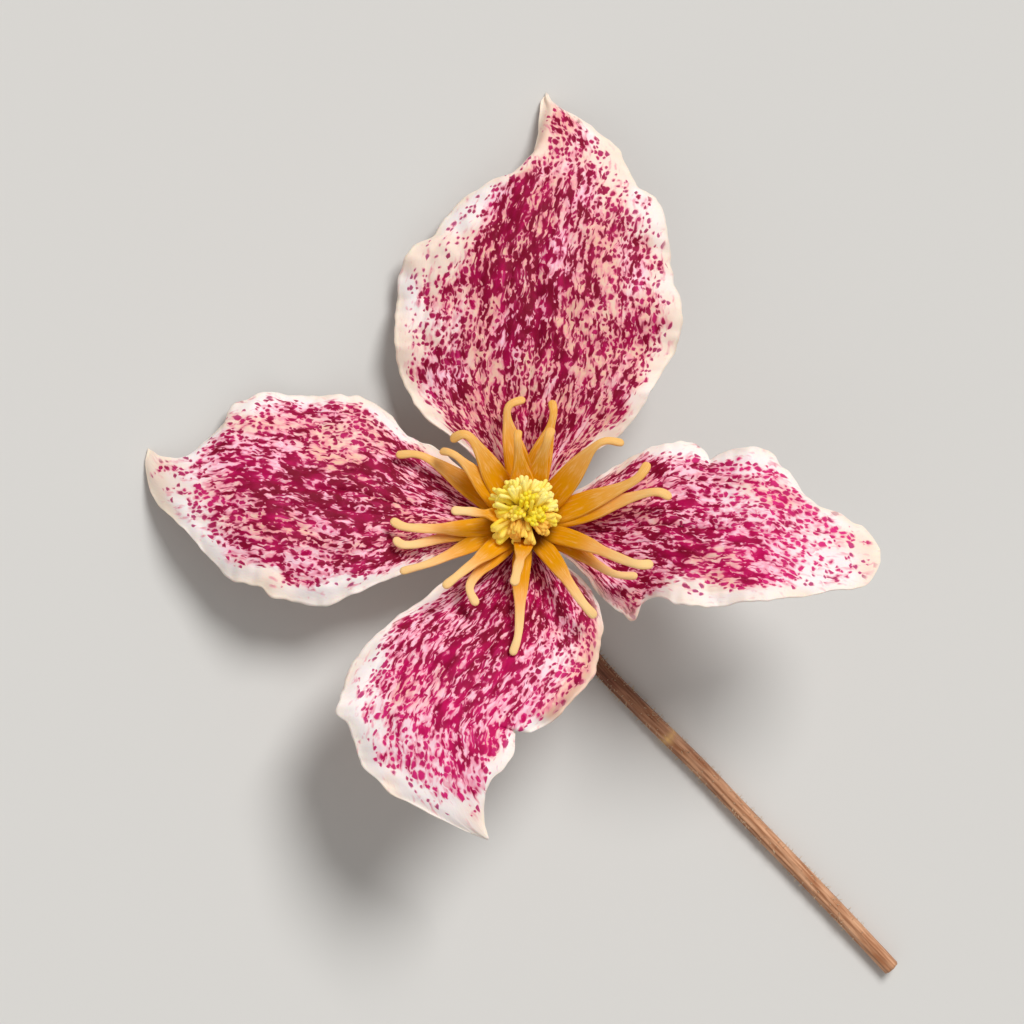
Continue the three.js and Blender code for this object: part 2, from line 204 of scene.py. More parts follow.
def freckled_face():
    """The upper face: cream, with magenta strokes along the veins that thin out to dots."""
    material, tree, shader = new_material("tepal_face")
    place = read_uv(tree, "blade")
    margin = read_attribute(tree, "margin")
    freckling = read_attribute(tree, "freckling")
    beige_and_painted_shade = read_attribute(tree, "beige_and_painted_shade")
    rolled_margin_shade = read_attribute(tree, "rolled_margin_shade")
    rosy = read_attribute(tree, "rosy")

    # Where the freckles are looked up wanders a little, so that no stroke is quite straight
    drift = node(tree, "ShaderNodeTexNoise", {"Vector": place, "Scale": 9.0, "Detail": 1.0})
    shift = node(tree, "ShaderNodeVectorMath", {0: drift.outputs["Color"], 1: (0.5, 0.5, 0.5)},
                 operation="SUBTRACT").outputs[0]
    shift = node(tree, "ShaderNodeVectorMath", {0: shift, "Scale": 0.06}, operation="SCALE").outputs[0]
    wandering = node(tree, "ShaderNodeVectorMath", {0: place, 1: shift}, operation="ADD").outputs[0]

    # Strokes join up where the freckles crowd together, and small gaps break them again
    groups = streaks(tree, wandering, along=3.4, across=1.7, seed=3.1, distortion=0.4)
    patches = maths(tree, "MULTIPLY", maths(tree, "SUBTRACT", groups, 0.5), 0.5)
    grain = streaks(tree, wandering, along=1.2, across=0.5, seed=7.7, detail=1.5)
    grain = maths(tree, "ADD", grain, patches)
    gaps = soft_step(tree, streaks(tree, wandering, along=0.6, across=0.32, seed=27.1), 0.54, 0.66)
    stroke = maths(tree, "ADD", grain, maths(tree, "MULTIPLY", freckling, 0.215))
    stroke = maths(tree, "SUBTRACT", stroke, maths(tree, "MULTIPLY", gaps, 0.15))

    # Dots fill the ground between the strokes and the margin, and sparse specks go farther out
    crowd = maths(tree, "MULTIPLY", soft_step(tree, freckling, -0.5, 0.35), 0.75)
    taken = maths(tree, "MULTIPLY", soft_step(tree, freckling, 0.45, 0.95), 0.7)
    crowd = maths(tree, "ADD", maths(tree, "SUBTRACT", crowd, taken), patches)
    dot = dots(tree, wandering, along=0.86, across=0.6, crowd=crowd, seed=5.5)
    sparse = maths(tree, "ADD", maths(tree, "MULTIPLY", crowd, 0.3), 0.27)
    sparse = maths(tree, "MULTIPLY", soft_step(tree, margin, 0.5, 1.6), sparse)
    speck = dots(tree, wandering, along=0.56, across=0.42, crowd=sparse, seed=9.1)
    dot = maths(tree, "MAXIMUM", dot, speck)
    line = streaks(tree, wandering, along=1.5, across=0.3, seed=15.3)
    line = maths(tree, "ADD", line, maths(tree, "MULTIPLY", freckling, 0.2))
    spots = maths(tree, "MAXIMUM", soft_step(tree, stroke, 0.64, 0.725), soft_step(tree, dot, -0.1, 0.06))
    spots = maths(tree, "MAXIMUM", spots, soft_step(tree, line, 0.78, 0.84))
    halo = maths(tree, "MAXIMUM", soft_step(tree, stroke, 0.46, 0.7), soft_step(tree, dot, -0.3, 0.0))

    # The ground is cream to beige in soft clouds, and pinker inwards and round each spot. Each
    # tepal's ground is also painted warmer or cooler as a whole, as painted light and shade, and
    # the beige towards the tips is their own colour
    cloud = streaks(tree, place, along=7.0, across=4.5, seed=21.0, detail=2.0, distortion=0.3)
    beige = soft_step(tree, maths(tree, "ADD", cloud, maths(tree, "MULTIPLY", beige_and_painted_shade, 0.2)), 0.49, 0.73)
    inner = soft_step(tree, freckling, -0.35, 1.0)
    pale = blend_colour(tree, beige, CREAM, BEIGE)
    deep = blend_colour(tree, beige, DEEP_PINK, DEEP_BEIGE)
    ground = blend_colour(tree, inner, pale, deep)
    # Painted shade: where a margin is rolled down and turns from the light, its ground is painted peach
    ground = blend_colour(tree, rolled_margin_shade, ground, PEACH_ROLL_SHADE)
    ground = blend_colour(tree, maths(tree, "MULTIPLY", halo, 0.75), ground, PINK_HALO)

    # Each spot is maroon to magenta, darkest in the thick of a stroke and faint near the margin
    tone = streaks(tree, place, along=2.6, across=1.3, seed=41.0, detail=2.0, distortion=0.3)
    tone = soft_step(tree, maths(tree, "ADD", tone, maths(tree, "MULTIPLY", rosy, 0.3)), 0.38, 0.92)
    light = blend_colour(tree, tone, MAROON, MAGENTA)
    dark = blend_colour(tree, tone, DARK_MAROON, DARK_MAGENTA)
    spot = blend_colour(tree, soft_step(tree, stroke, 0.62, 0.8), light, dark)
    spot = blend_colour(tree, soft_step(tree, freckling, 0.15, -0.6), spot, MAUVE)
    face = blend_colour(tree, spots, ground, spot)
    rim = maths(tree, "ADD", maths(tree, "MULTIPLY", beige, 0.4), 0.4)
    rim = maths(tree, "MULTIPLY", soft_step(tree, margin, 1.0, 0.1), rim)
    face = blend_colour(tree, rim, face, CREAM_RIM)

    skin = streaks(tree, place, along=0.5, across=0.18, seed=5.0, detail=3.0)
    finish_surface(tree, shader, face, skin, strength=0.25, depth=0.0001, roughness=0.62, specular=0.14)
    let_light_in(shader, weight=0.12, depth=0.0006)
    return material


def pale_back():
    """The underside: pale cream with a faint flush of the freckles along the veins."""
    material, tree, shader = new_material("tepal_back")
    place = read_uv(tree, "blade")
    freckling = read_attribute(tree, "freckling")
    veins = streaks(tree, place, along=6.0, across=0.7, seed=4.2, detail=3.0, distortion=0.6)
    flush = streaks(tree, place, along=3.0, across=1.6, seed=9.4, detail=3.0, distortion=0.5)
    ground = blend_colour(tree, soft_step(tree, veins, 0.42, 0.66), BACK_CREAM, BACK_VEIN)
    amount = maths(tree, "MULTIPLY", soft_step(tree, flush, 0.48, 0.68), freckling)
    back = blend_colour(tree, maths(tree, "MULTIPLY", amount, 0.45), ground, BACK_FLUSH)
    finish_surface(tree, shader, back, veins, strength=0.3, depth=0.0002, roughness=0.6, specular=0.3)
    return material


def as_object(mesh_maker, name):
    """Turns a finished mesh into a smoothly shaded object that sits at the origin."""
    for face in mesh_maker.faces:
        face.smooth = True
    mesh = bpy.data.meshes.new(name)
    mesh_maker.to_mesh(mesh)
    mesh_maker.free()
    made = bpy.data.objects.new(name, mesh)
    bpy.context.collection.objects.link(made)
    return made


def rest_on_ground(mesh_maker, level):
    """Lifts what would reach below the ground, as a soft tip that rests on it is pressed flat."""
    for vertex in mesh_maker.verts:
        vertex.co.z = max(vertex.co.z, level)


def outward_pace(step):
    """How far a step along a margin leads outwards, with a little for the way it goes sideways."""
    return max(step.x, 0.0) + 0.12 * abs(step.y)


def smooth_line(points, steps=16, pace=lambda step: step.length):
    """A dense line on the smooth curve through a few points, and the distance run at each."""
    ends = [2 * points[0] - points[1], *points, 2 * points[-1] - points[-2]]
    dense = []
    for before, start, stop, after in zip(ends, ends[1:], ends[2:], ends[3:]):
        for step in range(steps):
            t = step / steps
            dense.append(0.5 * (2 * start + t * (stop - before)
                                + t ** 2 * (2 * before - 5 * start + 4 * stop - after)
                                + t ** 3 * (3 * start - before - 3 * stop + after)))
    dense.append(points[-1])
    run = [0.0]
    for here, there in zip(dense, dense[1:]):
        run.append(run[-1] + pace(there - here))
    return dense, run


def point_on(line, share):
    """The point at a share of a smooth line's length."""
    dense, run = line
    target = share * run[-1]
    index = min(max(bisect_right(run, target) - 1, 0), len(dense) - 2)
    step = run[index + 1] - run[index]
    return dense[index].lerp(dense[index + 1], (target - run[index]) / step if step else 0.0)


def smoothed(points):
    """The same row of points with its small turns evened out, and its ends kept."""
    count = len(points) - 1
    flow = []
    for index in range(count + 1):
        reach = min(FLOW_ROWS, index, count - index)
        near = points[index - reach:index + reach + 1]
        flow.append(sum(near, Vector((0, 0, 0))) / len(near))
    return flow


def between(table, share):
    """Reads a value from a short table of (share, value) pairs, straight between them."""
    for (start, low), (stop, high) in zip(table, table[1:]):
        if share <= stop:
            return low + (high - low) * max(0.0, share - start) / (stop - start)
    return table[-1][1]


def ease(value, low, high):
    """0 below low and 1 above high, with a smooth change between."""
    t = min(max((value - low) / (high - low), 0.0), 1.0)
    return t * t * (3 - 2 * t)


def arch_height(share):
    """How high a blade's middle stands at a share of its length, as a share of that length."""
    return 0.45 * share + 0.01 * share ** 2 - 0.34 * share ** 3


def ruffle(point, place, across, share, to_margin, roll, phase):
    """Waves, flutters, puckers and rolls the margins, and furrows the middle along its veins."""
    edge = abs(across)
    fade = math.sqrt(max(0.0, math.sin(math.pi * share)))
    turn = point.x * 2 * math.pi / WAVE_LENGTH + phase + 1.3 * (1 if across > 0 else -1)
    point.z += WAVE_HEIGHT * fade * edge ** 3 * math.sin(turn)
    point.z += FLUTTER_HEIGHT * fade * edge ** 5 * noise.noise(place / 1.9)
    point.y += RIM_WANDER * fade * edge ** 8 * noise.noise(place / 1.1)
    pucker = noise.noise(Vector((point.x / 0.8, across * 2.5, phase)))
    point.z += PUCKER_HEIGHT * fade * edge ** 3 * pucker
    point.z -= roll * (1 - ease(to_margin, 0.0, ROLL_REACH)) * ease(edge, 0.0, 0.4)
    wandering = across + 0.05 * noise.noise(Vector((point.x / 5, across * 2, phase)))
    furrow = (1 - abs(math.sin(math.pi * FURROW_COUNT * wandering))) ** 4
    groove = math.exp(-(wandering / MIDRIB_WIDTH) ** 2)
    flat = ease(to_margin, 0.0, 2.5) * fade
    point.z -= flat * (FURROW_DEPTH * furrow + MIDRIB_DEPTH * groove) * (1 - ease(share, 0.5, 0.8))
    point.z += flat * (PLEAT_HEIGHT * noise.noise(place / 2.6) + DIMPLE_HEIGHT * noise.noise(place / 0.9))


def freckling_at(point, place, share, to_margin, clear_width, flecked):
    """How thickly the freckles stand: below 0 in the clear margin, and 1 or over where they crowd."""
    patch = noise.noise(place / 4.5)
    ragged = 1.6 * patch + 0.9 * noise.noise(place / 1.6)
    ragged *= min(1.0, clear_width)
    amount = ease(to_margin + ragged, 0.35 * clear_width, 1.5 * clear_width + min(1.2, clear_width))
    crowding = 0.82 + 0.3 * patch - 0.15 * ease(share, 0.8, 1.0)
    for fleck_out, fleck_side, reach, more in flecked:
        away = math.hypot(point.x - fleck_out, point.y - fleck_side) / reach
        crowding += more * math.exp(-away ** 2)
    return amount * min(crowding, 1.2) - 0.5 * (1 - amount)


def grow_tepal(name, phase, direction, left, right, left_lift, right_lift, clear, rolled, flecked,
               beige_and_painted_shade, rosiness):
    """Shapes one tepal from its two margins, read from base to tip as (out, side).

    The tables run by share of the length: how far each margin is lifted, how wide each keeps
    clear of freckles, and how far its last millimetre and a half is rolled down. Flecked lists
    where the freckles crowd together or thin out, as (out, side, reach, amount). The ground's
    tone pair says how beige the ground is near the base and farther out: the first value is
    painted light and shade, warmer where the tepal lies in shade and cooler where it faces the
    light, and the second is the tips' own beige. Rosiness says how bright the freckles are, near
    the base and farther out.
    """
    length = left[-1][0]

    def margin_line(points, lift):
        raised = []
        for out, side in points:
            share = (out - TONGUE_START) / (length - TONGUE_START)
            raised.append(Vector((out, side, length * arch_height(share) + between(lift, share))))
        return smooth_line(raised, pace=outward_pace)

    left_line = margin_line([(TONGUE_START, TONGUE_HALF_WIDTH), *left], left_lift)
    right_line = margin_line([(TONGUE_START, -TONGUE_HALF_WIDTH), *right], right_lift)
    shares = [row / BLADE_ROWS for row in range(BLADE_ROWS + 1)]
    left_cut = [point_on(left_line, share) for share in shares]
    right_cut = [point_on(right_line, share) for share in shares]
    left_flow, right_flow = smoothed(left_cut), smoothed(right_cut)

    mesh_maker = bmesh.new()
    bmesh.ops.create_grid(mesh_maker, x_segments=BLADE_ROWS, y_segments=BLADE_COLUMNS, size=1)
    layers = {read: mesh_maker.verts.layers.float.new(read)
              for read in ("margin", "freckling", "beige_and_painted_shade", "rolled_margin_shade", "rosy")}
    weight_layer = mesh_maker.verts.layers.deform.verify()
    uv_layer = mesh_maker.loops.layers.uv.new("blade")
    for vertex in mesh_maker.verts:
        along, across = (vertex.co.x + 1) / 2, vertex.co.y
        row = round(along * BLADE_ROWS)
        at_left, at_right = left_flow[row], right_flow[row]
        out = (at_left.x + at_right.x) / 2
        share = (out - TONGUE_START) / (length - TONGUE_START)
        follow = MIDRIB_FOLLOW + (1 - MIDRIB_FOLLOW) * ease(share, 0.9, 1.0)
        middle = Vector((out, follow * (at_left.y + at_right.y) / 2, length * arch_height(share)))
        point = (middle * (1 - across ** 2) + at_left * (across ** 2 + across) / 2
                 + at_right * (across ** 2 - across) / 2)
        cut = left_cut[row] - at_left if across > 0 else right_cut[row] - at_right
        point += cut * abs(across) ** 5

        # The freckles' pattern fans out with the blade near the base, and keeps its size beyond
        drawn = Vector((along * length, across * TEPAL_HALF_WIDTH))
        true_place = Vector((point.x, point.y - middle.y))
        for corner in vertex.link_loops:
            corner[uv_layer].uv = drawn.lerp(true_place, ease(share, 0.1, 0.45)) / PATTERN_UNIT

        half_width = (at_left.y - at_right.y) / 2
        to_margin = min((1 - abs(across)) * half_width, (1 - along) * length * 0.6)
        side = 0 if across > 0 else 1
        roll = between(rolled[side], share)
        place = Vector((point.x, point.y, 10 * phase))
        ruffle(point, place, across, share, to_margin, roll, phase)
        clear_width = between(clear[side], share)
        vertex[layers["margin"]] = to_margin
        vertex[layers["freckling"]] = freckling_at(point, place, share, to_margin, clear_width, flecked)
        # Painted light and shade near the base, warm on a shaded tepal and cool on a lit one, and the
        # tips' own beige farther out
        vertex[layers["beige_and_painted_shade"]] = beige_and_painted_shade[0] + (beige_and_painted_shade[1] - beige_and_painted_shade[0]) * ease(share, 0.84, 0.98)
        vertex[layers["rosy"]] = rosiness[0] + (rosiness[1] - rosiness[0]) * ease(share, 0.35, 0.7)
        # Painted shade on a rolled-down margin, strongest within a millimetre of the edge and gone past
        # about three
        vertex[layers["rolled_margin_shade"]] = ease(roll, 0.3, 1.0) * (1 - ease(to_margin, 1.0, 3.2))
        vertex[weight_layer][0] = ease(to_margin, 0.0, 1.4)
        vertex.co = point
    bmesh.ops.rotate(mesh_maker, verts=mesh_maker.verts, cent=(0, 0, 0),
                     matrix=Matrix.Rotation(math.radians(direction), 3, "Z"))
    bmesh.ops.transform(mesh_maker, matrix=BLOOM, verts=mesh_maker.verts)
    rest_on_ground(mesh_maker, 0.5 * BLADE_THICKNESS * MM)
    blade = as_object(mesh_maker, name + "_blade")
    blade.vertex_groups.new(name="thickness")
    blade.data.materials.append(tepal_face)
    blade.data.materials.append(tepal_back)
    wall = blade.modifiers.new("thickness", "SOLIDIFY")
    wall.thickness = BLADE_THICKNESS * MM
    wall.offset = 0.0
    wall.vertex_group = "thickness"
    wall.thickness_vertex_group = 0.4
    wall.material_offset = 1
    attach(blade, "root")
    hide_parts(name)


tepal_face = freckled_face()
tepal_back = pale_back()

# The upper tepal, the longest: broad, with a wide clear margin on its left and a drawn-out tip.
grow_tepal(
    "tepal_top", phase=0.0, direction=87.0,
    left=[(3.7, 2.6), (5.9, 4.8), (7.6, 7.1), (8.8, 9.3), (10.6, 11.0), (13.0, 12.3), (14.9, 13.0),
          (17.4, 13.4), (20.7, 13.3), (23.2, 13.3), (25.7, 12.1), (26.7, 10.3), (28.1, 9.6),
          (29.6, 8.7), (31.0, 7.4), (31.8, 6.0), (32.7, 4.6), (33.0, 3.2), (34.4, 1.9),
          (35.9, 1.0), (38.0, 0.7), (40.6, 0.7), (42.1, 0.6), (42.9, 0.25)],
    right=[(4.0, -2.7), (5.9, -4.4), (7.3, -6.3), (8.5, -8.1), (9.5, -9.1), (11.0, -10.4),
           (13.7, -11.7), (15.8, -12.7), (17.3, -13.4), (19.7, -14.0), (22.0, -13.7),
           (23.4, -13.1), (25.4, -12.7), (27.8, -12.3), (30.2, -11.7), (31.7, -11.0),
           (32.5, -10.1), (33.1, -9.1), (34.7, -8.1), (36.3, -7.3), (37.4, -6.3), (38.1, -5.3),
           (39.3, -4.1), (40.4, -2.7), (41.1, -1.5), (41.8, -0.6), (42.9, 0.1)],
    left_lift=[(0, 0.2), (0.1, 0.8), (0.2, 0.3), (0.4, -2.0), (0.6, -2.5), (0.75, -1.0),
               (0.85, -0.3), (1, 0)],
    right_lift=[(0, 0.2), (0.1, 0.8), (0.2, 0.3), (0.4, -2.0), (0.6, -2.2), (0.75, -1.5),
                (0.85, -0.8), (1, 0)],
    clear=([(0, 0.2), (0.12, 0.5), (0.24, 0.9), (0.42, 2.8), (0.52, 4.0), (0.62, 3.8), (0.72, 2.2),
            (1, 1.0)],
           [(0, 0.5), (0.25, 1.0), (0.5, 1.4), (0.8, 1.6), (0.9, 1.0), (1, 0.8)]),
    rolled=([(0, 0), (0.75, 0.1), (0.86, 0.7), (1, 0.5)], [(0, 0), (0.5, 0.2), (1, 0.3)]),
    flecked=[(30.2, -1.4, 3, 0.4), (27.3, 6.1, 2.6, 0.25), (23.5, 4.6, 2.6, 0.35),
             (18.8, 0.7, 3, 0.7), (25, 0.5, 3.4, 0.15), (21.9, -3.5, 2.6, 0.25),
             (17.4, -7.3, 2.2, 0.1), (11, 0, 3, 0.2), (14, 0, 2.4, -0.5), (22, -8, 3, -0.4),
             (18, -8, 3, -0.2), (30.8, -5.1, 2.4, -0.45), (35, 0, 3, -0.45),
             (36.9, -5.6, 3.4, -0.45), (18, 9, 3.2, -0.6), (28, -9, 3.4, -0.3)],
    beige_and_painted_shade=(0.9, 1.7), rosiness=(-0.05, 0.0))

# The left tepal: its upper margin has a step near the tip, which curls up to a small hook.
grow_tepal(
    "tepal_left", phase=2.1, direction=173.5,
    left=[(4.0, 2.9), (7.5, 5.0), (10.2, 6.3), (11.5, 7.0), (13.7, 8.6), (15.9, 9.8), (17.4, 10.6),
          (20.0, 10.8), (22.4, 10.9), (23.7, 10.2), (25.3, 9.8), (26.5, 9.6), (28.6, 8.1),
          (30.2, 6.7), (31.6, 5.4), (32.9, 4.3), (34.3, 3.1), (35.4, 1.6), (36.1, -0.4),
          (36.4, -1.8), (36.35, -2.4)],
    right=[(3.2, -2.3), (5.7, -3.8), (6.7, -4.6), (8.8, -5.7), (10.3, -6.3), (11.8, -6.8),
           (12.9, -7.9), (14.0, -9.1), (15.5, -9.8), (17.9, -10.0), (20.7, -9.8), (23.6, -9.6),
           (25.9, -9.1), (27.2, -8.4), (28.6, -7.7), (29.1, -6.7), (29.2, -5.9), (29.8, -5.1),
           (30.9, -3.7), (31.7, -2.6), (32.4, -1.9), (33.5, -1.6), (34.9, -1.8), (35.7, -2.3),
           (36.3, -2.6)],
    left_lift=[(0, 0.2), (0.1, 0.8), (0.2, 0.3), (0.4, -2.0), (0.6, -2.5), (0.8, -1.5), (1, 0)],
    right_lift=[(0, 0.2), (0.1, 0.8), (0.2, 0.3), (0.4, -2.2), (0.6, -3.0), (0.8, -1.5), (1, 0)],
    clear=([(0, 0.2), (0.2, 0.4), (0.45, 1.0), (0.6, 1.2), (0.8, 1.8), (1, 0.8)],
           [(0, 0.5), (0.25, 0.6), (0.45, 1.1), (0.6, 1.6), (0.75, 1.6), (1, 0.8)]),
    rolled=([(0, 0), (0.5, 0.3), (0.8, 0.1), (1, 0)], [(0, 0), (0.5, 0), (0.75, 0.3), (0.9, 0), (1, 0)]),
    flecked=[(10, -2.2, 3, 0.2), (15, -1.8, 3, 0.5), (21, -0.3, 3, 0.5), (26.6, 0.2, 3, 0.6),
             (16, 2.2, 2.2, 0.45), (18.5, 0, 3, 0.35), (23.5, 2.4, 2.2, 0.2), (13.6, -7, 2.2, 0.5),
             (23.5, -7.3, 1.6, 0.15), (18.6, -7.6, 1.4, 0.3), (16.8, -5.4, 2.4, -0.6),
             (21.5, -5, 2.4, -0.55), (20, 6, 3, -0.3), (14, 6.5, 2.4, 0.3), (29.5, 5, 3.4, -0.6),
             (28, -6.5, 3.6, -0.8), (32, 1, 3.4, -0.7)],
    beige_and_painted_shade=(0.3, 1.6), rosiness=(-0.05, 0.2))

# The right tepal, the narrowest: its upper margin is nicked, and its lower one turns up into a
# pale lip beyond the place where it is rolled back.
grow_tepal(
    "tepal_right", phase=4.2, direction=-8.0,
    left=[(2.9, 2.6), (4.2, 3.8), (6.4, 5.5), (7.7, 6.6), (9.5, 7.6), (11.2, 8.5), (13.1, 9.1),
          (14.4, 9.5), (15.4, 9.3), (16.2, 8.6), (16.6, 8.0), (17.4, 8.6), (18.8, 9.1),
          (20.6, 9.3), (22.1, 9.2), (23.1, 8.3), (24.2, 7.6), (24.9, 6.7), (25.8, 5.6),
          (26.9, 4.7), (27.9, 4.2), (29.4, 4.1), (30.6, 3.5), (31.6, 3.4), (32.6, 2.6),
          (33.5, 1.55)],
    right=[(3.5, -1.9), (4.7, -2.9), (6.3, -4.3), (7.5, -5.7), (8.5, -6.6), (10.1, -7.5),
           (11.1, -8.1), (11.7, -7.9), (12.0, -6.8), (12.9, -6.3), (14.2, -6.9), (15.6, -7.6),
           (18.8, -7.3), (21.1, -6.8), (23.4, -6.5), (25.6, -5.6), (27.5, -4.9), (29.3, -4.0),
           (31.1, -3.4), (32.5, -2.6), (33.2, -1.4), (33.7, 0.3), (33.55, 1.4)],
    left_lift=[(0, 0.2), (0.1, 0.8), (0.25, 0.3), (0.36, -0.3), (0.42, -1.2), (0.6, -1.5),
               (0.8, -1.2), (1, 0)],
    right_lift=[(0, 0.2), (0.1, 0.3), (0.25, -0.8), (0.33, -0.6), (0.42, 1.2), (0.6, 1.6),
                (0.8, 1.0), (1, 0)],
    clear=([(0, 0.3), (0.3, 0.5), (0.42, 0.8), (0.55, 1.3), (0.75, 1.3), (0.9, 1.0), (1, 0.8)],
           [(0, 0.2), (0.3, 0.2), (0.38, 1.3), (0.6, 1.6), (0.9, 1.3), (1, 0.9)]),
    rolled=([(0, 0), (0.5, 0.1), (1, 0.1)], [(0, 0.1), (0.22, 0.3), (0.3, 0.8), (0.36, 0), (1, 0)]),
    flecked=[(13.5, -0.5, 4.4, 0.4), (18.5, -2, 3.6, 0.45), (22.4, -1.5, 3, 0.1), (11.8, 5.5, 2, 0.3),
             (7, 0, 3.5, 0.2), (22.4, 5.4, 3.4, -0.4), (18.2, 3.4, 2, -0.3), (20, 0, 16, -0.14),
             (27, 0, 3.4, -0.6), (31, 0.5, 2.6, -0.2)],
    beige_and_painted_shade=(0.0, 1.3), rosiness=(0.1, 0.9))

# The lower tepal: it bulges to a corner on its left margin, and its right margin is folded and
# torn to a notch before it runs out to the pointed tip.
grow_tepal(
    "tepal_low", phase=6.3, direction=264.0,
    left=[(2.6, 2.6), (3.6, 4.4), (5.0, 6.1), (6.8, 7.4), (8.7, 8.2), (11.1, 8.3), (13.1, 8.1),
          (14.7, 7.8), (16.3, 6.8), (18.2, 5.6), (19.8, 4.2), (21.2, 2.7), (20.9, 1.9),
          (20.5, 1.1), (22.9, 1.4), (24.4, 1.1), (25.4, 0.6), (26.4, -0.5), (28.2, -0.9),
          (29.6, -0.8), (30.7, -0.4), (31.4, -0.1)],
    right=[(2.6, -2.3), (3.9, -3.9), (6.6, -7.0), (9.0, -9.0), (10.8, -10.7), (12.5, -11.9),
           (14.3, -13.6), (16.5, -14.7), (18.5, -15.1), (20.0, -15.2), (21.4, -15.4), (22.1, -14.3),
           (23.3, -13.7), (25.2, -12.9), (26.3, -12.1), (27.3, -10.6), (28.3, -9.6), (29.0, -7.7),
           (29.8, -5.7), (30.4, -3.8), (31.0, -1.9), (31.2, -0.8), (31.4, -0.3)],
    left_lift=[(0, 0.2), (0.1, 0.8), (0.25, -0.5), (0.45, -2.0), (0.6, -2.2), (0.68, -0.2),
               (0.8, -0.3), (1, 0)],
    right_lift=[(0, 0.2), (0.1, 0.8), (0.25, 0), (0.45, -0.8), (0.6, -1.2), (0.68, -1.2),
                (0.8, -0.8), (1, 0)],
    clear=([(0, 0.3), (0.3, 0.3), (0.45, 0.4), (0.58, 0.9), (0.66, 1.5), (0.8, 1.3), (1, 1.0)],
           [(0, 0.3), (0.3, 0.7), (0.5, 1.6), (0.7, 2.2), (0.85, 1.7), (1, 1.0)]),
    rolled=([(0, 0), (0.15, 0.2), (0.3, 1.0), (0.55, 1.3), (0.6, 0.5), (0.66, 0), (1, 0)],
            [(0, 0), (0.6, 0.2), (1, 0.2)]),
    flecked=[(8.5, -1.5, 4.5, 0.35), (9.3, 2.8, 3, 0.3), (14, 0, 3, 0.35), (17, -1, 3.5, 0.2),
             (20.4, -5.6, 2.6, 0.2), (23, -3, 2.4, 0.15), (14.1, 4.2, 2.6, -0.6), (16, 6, 2.4, -0.5),
             (12, 7.2, 2.2, -0.4), (23.5, -10, 3.6, -0.5), (27, -6, 3, -0.3), (20, 1, 2.4, -0.2),
             (14.5, -6, 3, 0.2), (16, -9, 3, 0.1)],
    beige_and_painted_shade=(-0.3, 0.6), rosiness=(0.2, 0.8))


# Stamens: flat, fleshy filaments that spring from a ring under the pistil and spread out over the
# tepals. Each is a tapering strap, channelled along its face, deep golden at the root and paler
# towards its blunt, slightly swollen end.
STAMEN_SIDES = 14
STAMEN_STEPS = 34
RING_INSIDE, RING_OUTSIDE = 1.2, 2.4
RING_BOTTOM, RING_TOP = 1.9, 3.1
RING_SIDES = 48
MERGE_DISTANCE = 1e-4
ROOT_OUT = (RING_INSIDE + RING_OUTSIDE) / 2
ROOT_HEIGHT = (RING_BOTTOM + RING_TOP) / 2
UPPER_SIDE = 80
ROOT_WIDTH, UPPER_ROOT_WIDTH = 1.9, 2.7
MIDDLE_WIDTH, UPPER_MIDDLE_WIDTH = 1.25, 2.1
CHANNEL_DEPTH = 0.22
FILAMENT_PEACH = ink(249, 176, 98)
FILAMENT_CREAM = ink(255, 212, 150)
SHADED_FILAMENT_GOLD = ink(236, 162, 36)
ROOT_SHADOW_BROWN = ink(96, 44, 0)
ROOT_AMBER = ink(226, 152, 0)
RIDGE_CREAM = ink(255, 212, 146)

# Where each filament bends and where it ends: (direction, distance out, height)
FILAMENTS = [
    ((129, 8.3, 8.5), (138, 9.5, 8.0)), ((150, 10.9, 5.5), (155, 13.5, 5.5)),
    ((143, 7.9, 7.5), (145, 9.8, 7.0)), ((189, 4.8, 7.8), (187, 7.0, 8.6)),
    ((189, 10.9, 6.0), (185, 12.7, 6.5)), ((196, 11.2, 5.0), (192, 12.7, 5.5)),
    ((209, 9.7, 5.0), (206, 13.1, 5.0)), ((228, 8.8, 7.5), (227, 11.2, 8.0)),
    ((234, 8.7, 5.5), (244, 10.4, 6.0)), ((264, 6.6, 9.0), (263, 8.8, 10.5)),
    ((267, 11.6, 5.5), (265, 14.1, 5.5)), ((300, 10.3, 6.5), (302, 12.4, 6.0)),
    ((324, 9.8, 5.0), (329, 12.3, 5.5)), ((329, 11.5, 8.5), (333, 13.4, 8.5)),
    ((7, 11.8, 7.0), (4, 13.8, 7.0)), ((14, 10.4, 7.0), (20, 12.4, 7.5)),
    ((40, 8.9, 8.5), (33, 11.1, 8.0)), ((71, 6.2, 8.5), (71, 7.8, 8.5)),
    ((97, 5.7, 8.5), (95, 7.2, 8.5)), ((100, 9.8, 6.5), (90, 11.0, 6.5)),
    ((74, 9.4, 6.0), (77, 11.3, 6.0)),
]


def polar(direction, out, height):
    """A point in a direction in degrees round the axis, so far out and so high."""
    angle = math.radians(direction)
    return Vector((out * math.cos(angle), out * math.sin(angle), height))


def new_growth():
    """An empty mesh that notes how far along its growth and round its section each corner is."""
    made = bmesh.new()
    made.loops.layers.uv.new("grown")
    made.verts.layers.float.new("tint")
    return made


def add_mesh(mesh_maker, piece):
    """Adds one finished mesh to another."""
    carrier = bpy.data.meshes.new("carrier")
    piece.to_mesh(carrier)
    piece.free()
    mesh_maker.from_mesh(carrier)
    bpy.data.meshes.remove(carrier)


def next_ring(strap, ring, rim):
    """Extrudes a ring of vertices by its edges, and gives the new ring in the same order."""
    grown = bmesh.ops.extrude_edge_only(strap, edges=rim)["geom"]
    ring_from = {vertex.co.copy().freeze(): vertex for vertex in grown
                 if isinstance(vertex, bmesh.types.BMVert)}
    ring = [ring_from[vertex.co.copy().freeze()] for vertex in ring]
    rim = [edge for edge in grown if isinstance(edge, bmesh.types.BMEdge)
           and edge.verts[0] in ring and edge.verts[1] in ring]
    return ring, rim


